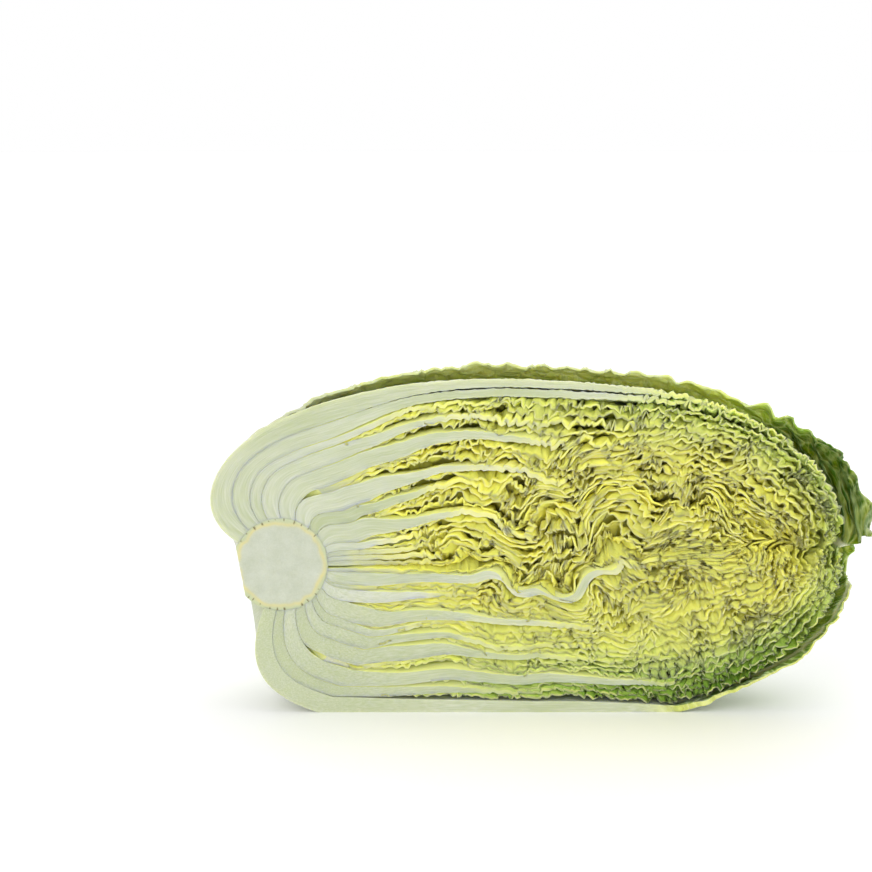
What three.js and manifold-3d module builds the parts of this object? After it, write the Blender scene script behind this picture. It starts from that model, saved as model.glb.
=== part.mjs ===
// Half a napa cabbage, cut lengthwise and lying on its side with the cut face upright.
// Millimetres. +X runs from the cut stem to the leaf tips, +Y goes back from the cut face, +Z is up.
//
// The leaves are nested shells. A point of the head is given by three numbers: s, from 0 on the
// head's axis to 1 on its outside; theta, the angle round the axis, 0 at the top of the cut face,
// 90 at the back and 180 at its bottom; and t, from 0 where a leaf leaves the core to 1 at the tip.
// Each leaf takes its own slot across the shells, so that leaves lie on each other as in a real head.
import * as THREE from "three";
import { mergeVertices } from "three/addons/utils/BufferGeometryUtils.js";
import Module from "manifold-3d";

// Driving dimensions of the head
const HEAD_LENGTH = 291;
const TOP_REACH = 90; // from the axis to the top of the cut face
const BACK_REACH = 77; // from the axis to the back, which is the depth of the half
const BOTTOM_REACH = 80; // before the head's own weight presses it flat on the surface
const AXIS_HEIGHT = 70; // the axis above the surface
const AXIS_RISE = 8; // how much higher the axis ends at the tip
const CORE_X = 27.5;
const CORE_RADIUS = 20.5;
const BUTT_X = 9.5; // where the stem was cut off
const HEART_TIP_X = 224; // where the innermost leaves end
const END_START = 0.5; // the value of t at which the shells are widest
const SWIRL = { x: 172, z: 78, radius: 50, turn: 42 }; // the heart is wound round this point

// How a shell runs from the core to the tip. Down and up are the bottom and the top of the cut face.
const LEAVE_ANGLE = { down: 112, up: 150 }; // where on the core the outside starts, from its tip side
const WIDEST_X = { inside: 110, down: 150, up: 130 };
const BOW = { inside: 4, outside: 46, power: 1.6 }; // how far a shell runs out before it bends over
const BEND = { inside: 30, down: 120, up: 115 }; // how far before the widest place the bend ends
const ROUNDNESS = { inside: 3, down: 2.3, up: 2.1 }; // of the tip end, where 2 is an ellipse
const ROUNDNESS_SIDE = { down: 3, up: 2 }; // the same for the head's section

// Driving dimensions of the leaves
const SPIRAL_STEPS = 29; // leaves round the whole head
const GOLDEN_ANGLE = 137.5;
const FIRST_ANGLE = 172; // the outermost leaf lies along the bottom
const KEPT_ANGLES = [-35, 215]; // leaves centred outside this went with the other half
const BLADE_THICK = 0.95;
const RIB_THICK = { outer: 8.5, inner: 5 };
const BASE_GAP = 1.1; // between the core and the leaves
const LEAST_GAP = 0.7; // between neighbouring leaves
const MARGIN_FADE = 26; // degrees over which a neighbour closes in beyond a leaf's margin
const FRILL = 3.2; // the most that a blade waves in and out
const MOST_SWELL = 1.6; // how much thicker the midribs may be where they fill the base of the head
const BUD_RADIUS = 4.5;
const BASE_HALF = { outer: 58, inner: 64 }; // degrees that a leaf spans to each side at its base
const BLADE_HALF = { outer: 78, inner: 96 }; // the same for its blade
const BLADE_FROM = 0.4; // the value of t where the blade has its full width
const RIB_HALF = { base: 58, tip: 18, until: 0.8 }; // half width of the midrib, degrees
const RIB_THINS = { from: 0.35, over: 0.5 }; // where the midrib goes over into the blade, along t
const SWELL_ENDS = { from: 0.12, over: 0.3 }; // where the midribs stop filling the base, along t
const PLAIN_HALF = { most: 14, resting: 30 }; // degrees beside the midrib's middle without waves
const MARGIN_FLARE = { low: 3, back: 5 }; // how far a margin stands off the head
const TIP_FLARE = { low: 3, back: 9 };

// The grid that the leaves share, so that neighbours bend alike. Rows are values of t, and columns
// are angles, the last ones set to the width of the flat that the half stands on.
const ANGLES = [0, 15, 30, 45, 60, 75, 90, 105, 120, 135, 148, 164, 180];
const FINE_LEAVES = 3; // the outermost leaves, which have half the step between rows
const ROWS = [0, 0.06, 0.13, 0.2];
const ROW_STEP = 0.0515;
const LAST_ROW = 15;
for (let i = 1; i <= LAST_ROW; i++) ROWS.push(0.2 + i * ROW_STEP);

const DEG = Math.PI / 180;
const lerp = (a, b, k) => a + (b - a) * k;
const clamp = (v, low, high) => Math.min(high, Math.max(low, v));
const smooth = (v) => {
  const k = clamp(v, 0, 1);
  return k * k * (3 - 2 * k);
};

// How high the axis runs at x.
const axisZ = (x) => AXIS_HEIGHT + AXIS_RISE * smooth((x - 140) / 150);

// The outside's distance from the axis where the head is widest.
function reach(theta) {
  const down = Math.cos(theta) < 0;
  const power = down ? ROUNDNESS_SIDE.down : ROUNDNESS_SIDE.up;
  const upright = Math.abs(Math.cos(theta)) / (down ? BOTTOM_REACH : TOP_REACH);
  const sideways = Math.abs(Math.sin(theta)) / BACK_REACH;
  return (upright ** power + sideways ** power) ** (-1 / power);
}

// A shell's outline in the half-plane at theta: x along the head, r out from the axis.
// It leaves the core squarely, bends over, and closes at the tip.
function outline(s, theta, t) {
  const up = (1 + Math.cos(theta)) / 2;
  const leave = s * lerp(LEAVE_ANGLE.down, LEAVE_ANGLE.up, up) * DEG;
  const girth = reach(theta) * s;
  const widest = lerp(WIDEST_X.inside, lerp(WIDEST_X.down, WIDEST_X.up, up), s);
  if (t < END_START) {
    const k = t / END_START;
    const start = CORE_RADIUS + BASE_GAP;
    const bow = start + lerp(BOW.inside, BOW.outside, s ** BOW.power);
    const bend = widest - lerp(BEND.inside, lerp(BEND.down, BEND.up, up), s);
    const weights = [(1 - k) ** 3, 3 * k * (1 - k) ** 2, 3 * k * k * (1 - k), k ** 3];
    const xs = [CORE_X + start * Math.cos(leave), CORE_X + bow * Math.cos(leave), bend, widest];
    const rs = [start * Math.sin(leave), bow * Math.sin(leave), girth, girth];
    const sum = (values) => weights.reduce((total, w, i) => total + w * values[i], 0);
    return { x: sum(xs), r: sum(rs) };
  }
  const turn = ((t - END_START) / (1 - END_START)) * 90 * DEG;
  const roundness = 2 / lerp(ROUNDNESS.inside, lerp(ROUNDNESS.down, ROUNDNESS.up, up), s);
  const tip = lerp(HEART_TIP_X, HEAD_LENGTH, s ** 0.9);
  return {
    x: widest + (tip - widest) * Math.sin(turn) ** roundness,
    r: girth * Math.max(Math.cos(turn), 0) ** roundness,
  };
}

// The point at s, theta, t. The surface that the head lies on flattens it from below.
function headPoint(s, theta, t) {
  const outside = outline(1, theta, t);
  const low = -outside.r * Math.cos(theta);
  const pressed = Math.min(1, axisZ(outside.x) / Math.max(low, 1));
  const { x, r } = outline(s, theta, t);
  const y = pressed * r * Math.sin(theta);
  const z = axisZ(x) + pressed * r * Math.cos(theta);
  const away = Math.hypot(x - SWIRL.x, z - SWIRL.z, y);
  const angle = SWIRL.turn * DEG * smooth(1 - away / SWIRL.radius);
  return new THREE.Vector3(
    SWIRL.x + (x - SWIRL.x) * Math.cos(angle) - (z - SWIRL.z) * Math.sin(angle),
    y,
    SWIRL.z + (x - SWIRL.x) * Math.sin(angle) + (z - SWIRL.z) * Math.cos(angle),
  );
}

// Distances across the shells at theta, t, from the axis outward, and the point at such a distance.
const ACROSS_STEPS = 24;
function across(theta, t) {
  const distance = [0];
  let last = headPoint(0, theta, t);
  for (let i = 1; i <= ACROSS_STEPS; i++) {
    const next = headPoint(i / ACROSS_STEPS, theta, t);
    distance.push(distance[i - 1] + next.distanceTo(last));
    last = next;
  }
  const total = distance[ACROSS_STEPS];
  const step = total - distance[ACROSS_STEPS - 1];
  const pointAt = (d) => {
    if (d >= total) return headPoint(1 + (d - total) / step / ACROSS_STEPS, theta, t);
    let i = 0;
    while (distance[i + 1] < d) i++;
    const part = (d - distance[i]) / (distance[i + 1] - distance[i]);
    return headPoint((i + part) / ACROSS_STEPS, theta, t);
  };
  return { total, pointAt };
}

// The leaves, outermost first. A leaf's age runs from 0 for the outermost to 1 for the innermost.
const leaves = [];
for (let step = 0; step < SPIRAL_STEPS; step++) {
  const turned = (FIRST_ANGLE + step * GOLDEN_ANGLE) % 360;
  const centre = turned > 270 ? turned - 360 : turned;
  if (centre < KEPT_ANGLES[0] || centre > KEPT_ANGLES[1]) continue;
  const age = step / (SPIRAL_STEPS - 1);
  leaves.push({
    age,
    centre,
    baseHalf: lerp(BASE_HALF.outer, BASE_HALF.inner, age),
    bladeHalf: lerp(BLADE_HALF.outer, BLADE_HALF.inner, age),
    ribThick: lerp(RIB_THICK.outer, RIB_THICK.inner, age),
    tipRow: ROWS.length - 2 + (step % 2),
  });
}

// Half the angle that a leaf spans at t, and its thickness there, from the thick midrib to the blade.
const spanHalf = (leaf, t) => lerp(leaf.baseHalf, leaf.bladeHalf, smooth(t / BLADE_FROM));
function thickness(leaf, off, t) {
  const ribHalf = lerp(RIB_HALF.base, RIB_HALF.tip, smooth(t / RIB_HALF.until));
  const ribThick = lerp(leaf.ribThick, BLADE_THICK, smooth((t - RIB_THINS.from) / RIB_THINS.over));
  return BLADE_THICK + (ribThick - BLADE_THICK) * Math.exp(-((off / ribHalf) ** 2));
}

// How much of a leaf's slot is open at theta, t: all of it on the leaf, and none well beyond it.
function presence(leaf, off, t) {
  const beyond = (Math.abs(off) - spanHalf(leaf, t)) / MARGIN_FADE;
  return (1 - smooth(beyond)) * (1 - smooth((t - ROWS[leaf.tipRow]) / ROW_STEP));
}

// Where a leaf's outer and inner faces lie, measured across the shells, and the free space under it.
function slot(index, theta, t, total) {
  const angle = theta / DEG;
  let solid = 0;
  let open = 0;
  const parts = leaves.map((leaf) => {
    const off = angle - leaf.centre;
    const present = presence(leaf, off, t);
    const thick = thickness(leaf, off, t);
    solid += present * thick;
    open += present;
    return { present, thick };
  });
  const room = total - BUD_RADIUS - LEAST_GAP;
  const filling = Math.min(MOST_SWELL, (room - LEAST_GAP * open) / solid);
  const swellLeft = 1 - smooth((t - SWELL_ENDS.from) / SWELL_ENDS.over);
  const squeeze = lerp(Math.min(1, filling), filling, swellLeft);
  const gap = (room - squeeze * solid) / Math.max(open, 1);
  let outer = total;
  for (let i = 0; i < index; i++) outer -= parts[i].present * (parts[i].thick * squeeze + gap);
  return { outer, thick: parts[index].thick * squeeze, gap };
}

// The two outermost leaves bend away from the head at the tip and along one margin: the lower leaf
// along its margin at the back, and the back leaf along its upper one, which stands up behind the
// cut face.
function flare(index, theta, t) {
  const angle = theta / DEG;
  if (index === 0) {
    const margin = smooth((120 - angle) / 25) * smooth((t - 0.3) / 0.2);
    return MARGIN_FLARE.low * margin + TIP_FLARE.low * smooth((t - 0.66) / 0.24);
  }
  if (index === 1) {
    const margin = smooth((48 - angle) / 40) * smooth((t - 0.2) / 0.2);
    const clearOfLow = smooth((84 - angle) / 14);
    return clearOfLow * (MARGIN_FLARE.back * margin + TIP_FLARE.back * smooth((t - 0.72) / 0.18));
  }
  return 0;
}

// A closed solid between two faces given as rows of points, with both faces split alike. Neighbouring
// columns may meet in one point, and the triangles that vanish there are left out.
function slab(outerRows, innerRows) {
  const rows = outerRows.length;
  const columns = outerRows[0].length;
  const points = [...outerRows.flat(), ...innerRows.flat()];
  const at = (face, i, j) => face * rows * columns + i * columns + j;
  const index = [];
  const triangle = (a, b, c) => {
    const [p, q, r] = [points[a], points[b], points[c]];
    if (!p.equals(q) && !q.equals(r) && !r.equals(p)) index.push(a, b, c);
  };
  const quad = (a, b, c, d) => {
    triangle(a, b, c);
    triangle(a, c, d);
  };
  for (let i = 0; i + 1 < rows; i++) {
    for (let j = 0; j + 1 < columns; j++) {
      quad(at(0, i, j), at(0, i + 1, j), at(0, i + 1, j + 1), at(0, i, j + 1));
      triangle(at(1, i, j), at(1, i + 1, j + 1), at(1, i + 1, j));
      triangle(at(1, i, j), at(1, i, j + 1), at(1, i + 1, j + 1));
    }
    const end = columns - 1;
    quad(at(0, i, 0), at(1, i, 0), at(1, i + 1, 0), at(0, i + 1, 0));
    quad(at(0, i, end), at(0, i + 1, end), at(1, i + 1, end), at(1, i, end));
  }
  for (let j = 0; j + 1 < columns; j++) {
    const end = rows - 1;
    quad(at(0, 0, j), at(0, 0, j + 1), at(1, 0, j + 1), at(1, 0, j));
    quad(at(0, end, j), at(1, end, j), at(1, end, j + 1), at(0, end, j + 1));
  }
  const geometry = new THREE.BufferGeometry();
  geometry.setAttribute("position", new THREE.Float32BufferAttribute(points.flatMap((p) => p.toArray()), 3));
  geometry.setIndex(index);
  return geometry;
}

// One leaf: smooth over the midrib, and waved in and out towards its margins and where it was cut
// through the blade. The waves stay inside the leaf's own slot. The outermost leaves get a finer grid.
function leafGeometry(index) {
  const leaf = leaves[index];
  const finer = index < FINE_LEAVES ? 2 : 1;
  const outerRows = [];
  const innerRows = [];
  for (let i = 0; i <= leaf.tipRow * finer; i++) {
    const before = Math.min(Math.floor(i / finer), leaf.tipRow - 1);
    const t = lerp(ROWS[before], ROWS[before + 1], i / finer - before);
    const half = spanHalf(leaf, t);
    const low = Math.max(0, leaf.centre - half);
    const high = Math.min(180, leaf.centre + half);
    const outerRow = [];
    const innerRow = [];
    for (const column of ANGLES) {
      const angle = clamp(column, low, high);
      const theta = angle * DEG;
      const { total, pointAt } = across(theta, t);
      const { outer, thick, gap } = slot(index, theta, t, total);
      const plainHalf = index === 0 ? PLAIN_HALF.resting : PLAIN_HALF.most;
      const fromRib = smooth((Math.abs(angle - leaf.centre) - plainHalf) / 40);
      const depth = Math.min(FRILL, 0.5 * gap) * fromRib * smooth((t - 0.2) / 0.2);
      const wave = i % 2 ? 0 : -depth;
      const rest = index === 0 ? 0 : -0.1 * gap;
      const place = outer + wave + rest + flare(index, theta, t);
      outerRow.push(pointAt(place));
      innerRow.push(pointAt(place - thick));
    }
    outerRows.push(outerRow);
    innerRows.push(innerRow);
  }
  return slab(outerRows, innerRows);
}

// The folded youngest leaf: a slim fluted spindle along the axis, cut in half.
function budGeometry() {
  const rows = 10;
  const columns = 8;
  const outerRows = [];
  const innerRows = [];
  for (let i = 0; i <= rows; i++) {
    const t = lerp(0.02, 0.9, i / rows);
    const girth = BUD_RADIUS * lerp(0.45, 1, Math.sin(Math.PI * lerp(0.08, 0.92, i / rows)));
    const outerRow = [];
    const innerRow = [];
    for (let j = 0; j <= columns; j++) {
      const theta = (j / columns) * Math.PI;
      const { pointAt } = across(theta, t);
      outerRow.push(pointAt(girth * (j % 2 ? 0.78 : 1)));
      innerRow.push(pointAt(girth * 0.3));
    }
    outerRows.push(outerRow);
    innerRows.push(innerRow);
  }
  return slab(outerRows, innerRows);
}

// The core: a round stem end, cut in half by the knife and cut off square at the butt.
const wasm = await Module();
wasm.setup();

function toSolid(geometry) {
  const bare = geometry.clone();
  bare.deleteAttribute("normal");
  bare.deleteAttribute("uv");
  const merged = mergeVertices(bare, 1e-4);
  const triVerts = new Uint32Array(merged.index.array);
  const vertProperties = new Float32Array(merged.attributes.position.array);
  return new wasm.Manifold(new wasm.Mesh({ numProp: 3, vertProperties, triVerts }));
}

function toGeometry(solid) {
  const mesh = solid.getMesh();
  const geometry = new THREE.BufferGeometry();
  geometry.setAttribute("position", new THREE.BufferAttribute(new Float32Array(mesh.vertProperties), 3));
  geometry.setIndex(new THREE.BufferAttribute(new Uint32Array(mesh.triVerts), 1));
  return geometry;
}

function coreGeometry() {
  const ball = new THREE.SphereGeometry(CORE_RADIUS, 24, 16).translate(CORE_X, 0, AXIS_HEIGHT);
  const size = 4 * CORE_RADIUS;
  const kept = new THREE.BoxGeometry(size, size, size).translate(BUTT_X + size / 2, size / 2, AXIS_HEIGHT);
  return toGeometry(toSolid(ball).intersect(toSolid(kept)));
}

// The assembly, moved so that its origin is under the middle of its bounding box.
const part = new THREE.Group();

function add(name, geometry, color) {
  geometry.computeVertexNormals();
  const material = new THREE.MeshStandardMaterial({ color, roughness: 0.5, metalness: 0 });
  const mesh = new THREE.Mesh(geometry, material);
  mesh.name = name;
  part.add(mesh);
}

add("core", coreGeometry(), new THREE.Color(0.87, 0.89, 0.8));
const outerGreen = new THREE.Color(0.42, 0.6, 0.2);
const innerYellow = new THREE.Color(0.86, 0.84, 0.42);
leaves.forEach((leaf, index) => {
  const colour = outerGreen.clone().lerp(innerYellow, smooth(leaf.age * 1.6));
  add("leaf_" + String(index + 1).padStart(2, "0"), leafGeometry(index), colour);
});
add("heart_bud", budGeometry(), new THREE.Color(0.88, 0.84, 0.4));

const bounds = new THREE.Box3().setFromObject(part);
const middle = bounds.getCenter(new THREE.Vector3());
part.position.set(-middle.x, -middle.y, -bounds.min.z);

export default part;
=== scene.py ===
import math

import bpy
import numpy as np
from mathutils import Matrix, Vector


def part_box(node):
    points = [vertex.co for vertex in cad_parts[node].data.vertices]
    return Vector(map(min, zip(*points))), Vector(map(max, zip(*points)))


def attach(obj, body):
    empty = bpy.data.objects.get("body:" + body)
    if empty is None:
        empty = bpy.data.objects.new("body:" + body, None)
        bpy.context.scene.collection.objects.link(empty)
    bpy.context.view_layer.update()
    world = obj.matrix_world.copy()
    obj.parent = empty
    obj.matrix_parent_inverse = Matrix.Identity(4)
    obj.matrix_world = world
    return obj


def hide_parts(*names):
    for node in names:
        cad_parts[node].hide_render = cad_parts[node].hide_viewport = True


# Looks of half a napa cabbage, cut lengthwise, lying on its side with the cut face upright.
# Lengths are millimetres in the head's own frame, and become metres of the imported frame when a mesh
# is made. A point of the head is given by s, from 0 on the head's axis to 1 on its outside; theta,
# the angle round the axis, 0 at the top of the cut face, 90 at the back and 180 at its bottom; and
# t, from 0 at the core to 1 at the tip. In this frame x runs from the butt to the tips, y from the
# cut face back, and z up.
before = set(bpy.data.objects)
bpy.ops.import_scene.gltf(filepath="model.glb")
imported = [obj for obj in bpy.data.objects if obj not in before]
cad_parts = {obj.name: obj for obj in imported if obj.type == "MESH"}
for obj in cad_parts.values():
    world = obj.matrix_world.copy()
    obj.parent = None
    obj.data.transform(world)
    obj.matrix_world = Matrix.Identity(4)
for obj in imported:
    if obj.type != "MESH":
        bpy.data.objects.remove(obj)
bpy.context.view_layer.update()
MM = 0.001

# The head, as in the part's solids
HEAD_LENGTH = 291
TOP_REACH = 90
BACK_REACH = 77
BOTTOM_REACH = 80
AXIS_HEIGHT = 70
AXIS_RISE, AXIS_RISE_FROM, AXIS_RISE_OVER = 8, 140, 150
CORE_X = 27.5
CORE_RADIUS = 20.5
BUTT_X = 9.5
HEART_TIP_X = 224
TIP_POWER = 0.9
WIDEST_T = 0.5  # the t at which a leaf is widest from the axis
SWIRL_X, SWIRL_Z, SWIRL_RADIUS, SWIRL_TURN = 172, 78, 50, 42
LEAVE_LOW, LEAVE_UP = 112, 150  # degrees from +x at which the outermost leaves leave the core
WIDEST_INSIDE, WIDEST_LOW, WIDEST_UP = 110, 150, 130
BOW_INSIDE, BOW_OUTSIDE, BOW_POWER = 4, 46, 1.6
BEND_INSIDE, BEND_LOW, BEND_UP = 30, 120, 115
ROUND_INSIDE, ROUND_LOW, ROUND_UP = 3.0, 2.3, 2.1
SIDE_POWER_LOW, SIDE_POWER_UP = 3, 2

# The leaves, as in the part's solids, but closer to each other
SPIRAL_STEPS = 29
GOLDEN_ANGLE = 137.5
FIRST_ANGLE = 172
KEPT_LOW, KEPT_HIGH = -35, 215
BOTTOM_WRAPPER, BACK_WRAPPER, TOP_LEAF = "leaf_01", "leaf_02", "leaf_03"
BASE_HALF_OUTER, BASE_HALF_INNER = 58, 64
BLADE_HALF_OUTER, BLADE_HALF_INNER = 78, 96
BLADE_THICK = 0.85
LEAST_BLADE = 0.72
RIB_OUTER, RIB_INNER = 8.6, 6.2
RIB_HALF_BASE, RIB_HALF_TIP = 62, 18
RIB_NARROWS_OVER = 0.8
RIB_UNEVEN, RIB_WAVES, RIB_WAVE_SHIFT = 0.3, 13, 2.4
UNEVEN_FROM, UNEVEN_OVER = 0.25, 0.2
SPREADS_OVER = 0.4
THINS_FROM, THINS_OVER_OUTER, THINS_OVER_INNER, THINS_OVER_LONG = 0.3, 0.5, 0.28, 0.62
BASE_GAP = 0.4
LEAST_GAP = 0.12
TOP_LEAF_SPACE = 0.3
FADE_BASE, FADE_BLADE = 8, 18  # degrees over which a neighbour closes in beyond a leaf's margin
MOST_SWELL = 3.0
SWELL_UNTIL, SWELL_FADE = 0.22, 0.26  # the leaves swell to fill the space only near their bases
BUD_RADIUS = 0.4
TIP_T_LEAST, TIP_T_MOST = 0.95, 0.995

# The thin blades between the leaves, and the youngest leaves in the middle
BLADES_A_LEAF = 1.15
FIRST_BLADES_AFTER = 3
BLADE_CENTRE_UP, BLADE_CENTRE_LOW = 8, 172
BLADE_BASE_HALF, BLADE_BLADE_HALF = 36, 40
BLADE_START_OUTER, BLADE_START_INNER, BLADE_START_VARIED = 0.3, 0.18, 0.12
START_OVER = 0.08
RIBBED_BLADE, RIBBED_THICK = 2, 6.5  # the one under the topmost leaf has a thick midrib
HEART_LEAVES = 6
HEART_CENTRE_UP, HEART_CENTRE_LOW = 6, 174
HEART_BASE_HALF, HEART_BLADE_HALF = 60, 80
HEART_THICK = 1.6
HEART_RIB, HEART_RIB_THICK = 3, 5.0  # the one whose long midrib curls through the heart
GOLDEN_PART = 0.618


def lerp(a, b, k):
    return a + (b - a) * k


def smooth(v):
    k = np.clip(v, 0, 1)
    return k * k * (3 - 2 * k)


def rising(v, start, over):
    """From 0 where v is at the start to 1 where it is that much over it."""
    return smooth((v - start) / over)


def falling(v, end, over):
    """From 1 where v is that much below the end to 0 where it is at the end."""
    return smooth((end - v) / over)


def unit(vectors):
    return vectors / np.maximum(np.linalg.norm(vectors, axis=-1, keepdims=True), 1e-9)


def stack3(a, b, c):
    return np.stack(np.broadcast_arrays(a, b, c), axis=-1)


# Noise: random values on a grid of whole numbers, with smooth steps between. The seed picks one of
# many patterns, each the same in every run.
def scatter(cells, seed):
    x, y, z = (cells[..., i].astype(np.int64).astype(np.uint32) for i in range(3))
    mixed = x * np.uint32(73856093) ^ y * np.uint32(19349663) ^ z * np.uint32(83492791)
    mixed = mixed ^ np.uint32(seed * 2654435761 % 4294967296)
    mixed = (mixed ^ (mixed >> np.uint32(15))) * np.uint32(2246822519)
    mixed = (mixed ^ (mixed >> np.uint32(13))) * np.uint32(3266489917)
    mixed = mixed ^ (mixed >> np.uint32(16))
    return mixed.astype(np.float64) / 2147483648 - 1


def noise(points, seed):
    base = np.floor(points)
    part = smooth(points - base)
    total = 0
    for corner in range(8):
        step = np.array([corner & 1, corner >> 1 & 1, corner >> 2 & 1])
        weight = np.prod(np.where(step == 1, part, 1 - part), axis=-1)
        total = total + weight * scatter(base + step, seed)
    return total


# The head's shells
def axis_z(x):
    return AXIS_HEIGHT + AXIS_RISE * rising(x, AXIS_RISE_FROM, AXIS_RISE_OVER)


def reach(theta):
    """How far the outside is from the axis where the head is widest."""
    down = np.cos(theta) < 0
    power = np.where(down, SIDE_POWER_LOW, SIDE_POWER_UP)
    upright = np.abs(np.cos(theta)) / np.where(down, BOTTOM_REACH, TOP_REACH)
    sideways = np.abs(np.sin(theta)) / BACK_REACH
    return (upright**power + sideways**power) ** (-1 / power)


def outline(s, theta, t):
    """The distances along the axis and from it: a curve that leaves the core, then a rounded end."""
    up = (1 + np.cos(theta)) / 2
    leave = np.radians(s * lerp(LEAVE_LOW, LEAVE_UP, up))
    girth = reach(theta) * s
    widest = lerp(WIDEST_INSIDE, lerp(WIDEST_LOW, WIDEST_UP, up), s)
    k = np.clip(t / WIDEST_T, 0, 1)
    start = CORE_RADIUS + BASE_GAP
    bow = start + lerp(BOW_INSIDE, BOW_OUTSIDE, np.maximum(s, 0) ** BOW_POWER)
    bend = widest - lerp(BEND_INSIDE, lerp(BEND_LOW, BEND_UP, up), s)
    weights = ((1 - k) ** 3, 3 * k * (1 - k) ** 2, 3 * k * k * (1 - k), k**3)
    xs = (CORE_X + start * np.cos(leave), CORE_X + bow * np.cos(leave), bend, widest)
    rs = (start * np.sin(leave), bow * np.sin(leave), girth, girth)
    curve_x = sum(w * x for w, x in zip(weights, xs))
    curve_r = sum(w * r for w, r in zip(weights, rs))
    turn = np.clip((t - WIDEST_T) / (1 - WIDEST_T), 0, 1) * math.pi / 2
    roundness = 2 / lerp(ROUND_INSIDE, lerp(ROUND_LOW, ROUND_UP, up), s)
    tip = lerp(HEART_TIP_X, HEAD_LENGTH, np.maximum(s, 0) ** TIP_POWER)
    end_x = widest + (tip - widest) * np.sin(turn) ** roundness
    end_r = girth * np.maximum(np.cos(turn), 0) ** roundness
    first = t < WIDEST_T
    return np.where(first, curve_x, end_x), np.where(first, curve_r, end_r)


def turned_about(points, x, z, angle):
    """Points turned in the cut plane about a place in it."""
    dx = points[..., 0] - x
    dz = points[..., 2] - z
    return stack3(
        x + dx * np.cos(angle) - dz * np.sin(angle),
        points[..., 1],
        z + dx * np.sin(angle) + dz * np.cos(angle),
    )


def head_point(s, theta, t):
    """A point of the head, which is flattened where it rests and swirled at its heart."""
    outside_x, outside_r = outline(np.ones_like(s), theta, t)
    low = -outside_r * np.cos(theta)
    pressed = np.minimum(1, axis_z(outside_x) / np.maximum(low, 1))
    x, r = outline(s, theta, t)
    points = stack3(x, pressed * r * np.sin(theta), axis_z(x) + pressed * r * np.cos(theta))
    away = np.linalg.norm(points - np.array([SWIRL_X, 0, SWIRL_Z]), axis=-1)
    angle = math.radians(SWIRL_TURN) * smooth(1 - away / SWIRL_RADIUS)
    return turned_about(points, SWIRL_X, SWIRL_Z, angle)


class Across:
    """Distances across the shells at each theta and t of a grid, from the axis outward."""

    steps = 24

    def __init__(self, theta, t):
        self.theta, self.t = theta, t
        s = np.linspace(0, 1, self.steps + 1)
        points = head_point(np.broadcast_to(s, theta.shape + s.shape), theta[..., None], t[..., None])
        lengths = np.linalg.norm(np.diff(points, axis=-2), axis=-1)
        none = np.zeros(theta.shape + (1,))
        self.distance = np.concatenate([none, np.cumsum(lengths, axis=-1)], axis=-1)
        self.total = self.distance[..., -1]
        self.last_step = lengths[..., -1]

    def shell(self, d):
        below = (self.distance[..., 1:] <= d[..., None]).sum(-1)
        below = np.clip(below, 0, self.steps - 1)
        low = np.take_along_axis(self.distance, below[..., None], -1)[..., 0]
        high = np.take_along_axis(self.distance, below[..., None] + 1, -1)[..., 0]
        inside = (below + (d - low) / (high - low)) / self.steps
        beyond = 1 + (d - self.total) / self.last_step / self.steps
        return np.where(d >= self.total, beyond, inside)

    def point_at(self, d):
        return head_point(self.shell(d), self.theta, self.t)


class Layer:
    """A leaf. Its centre and half widths are in degrees round the axis, its thickness in millimetres."""

    def __init__(self, name, number, age, centre, halves, rib_thick, start=-1.0, space=1.0, long_rib=False):
        self.name = name
        self.number = number
        self.age = age
        self.centre = centre
        self.base_half, self.blade_half = halves
        self.rib_thick = rib_thick
        self.start = start
        self.space = space
        self.thins_over = lerp(THINS_OVER_OUTER, THINS_OVER_INNER, age)
        if long_rib:
            self.thins_over = THINS_OVER_LONG

    def span_half(self, t):
        return lerp(self.base_half, self.blade_half, smooth(t / SPREADS_OVER))

    def thickness(self, off, t):
        rib_half = lerp(RIB_HALF_BASE, RIB_HALF_TIP, smooth(t / RIB_NARROWS_OVER))
        waved = np.sin(RIB_WAVES * t + RIB_WAVE_SHIFT * self.number)
        uneven = 1 + RIB_UNEVEN * waved * rising(t, UNEVEN_FROM, UNEVEN_OVER)
        rib_thick = lerp(self.rib_thick * uneven, BLADE_THICK, rising(t, THINS_FROM, self.thins_over))
        return BLADE_THICK + (rib_thick - BLADE_THICK) * np.exp(-((off / rib_half) ** 2))

    def presence(self, off, t):
        fade = lerp(FADE_BASE, FADE_BLADE, rising(t, 0.1, 0.3))
        beyond = (np.abs(off) - self.span_half(t)) / fade
        return (1 - smooth(beyond)) * rising(t, self.start, START_OVER)


def spiral():
    """The age and the centre of each leaf that reaches the kept half, outermost first."""
    for step in range(SPIRAL_STEPS):
        turned = (FIRST_ANGLE + step * GOLDEN_ANGLE) % 360
        centre = turned - 360 if turned > 270 else turned
        if KEPT_LOW <= centre <= KEPT_HIGH:
            yield step / (SPIRAL_STEPS - 1), centre


def add_leaf(made, number, age, centre):
    name = f"leaf_{number:02d}"
    base_half = lerp(BASE_HALF_OUTER, BASE_HALF_INNER, age)
    blade_half = lerp(BLADE_HALF_OUTER, BLADE_HALF_INNER, age)
    rib_thick = lerp(RIB_OUTER, RIB_INNER, age)
    space = TOP_LEAF_SPACE if name == TOP_LEAF else 1.0
    made.append(Layer(name, len(made), age, centre, (base_half, blade_half), rib_thick, space=space))


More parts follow.
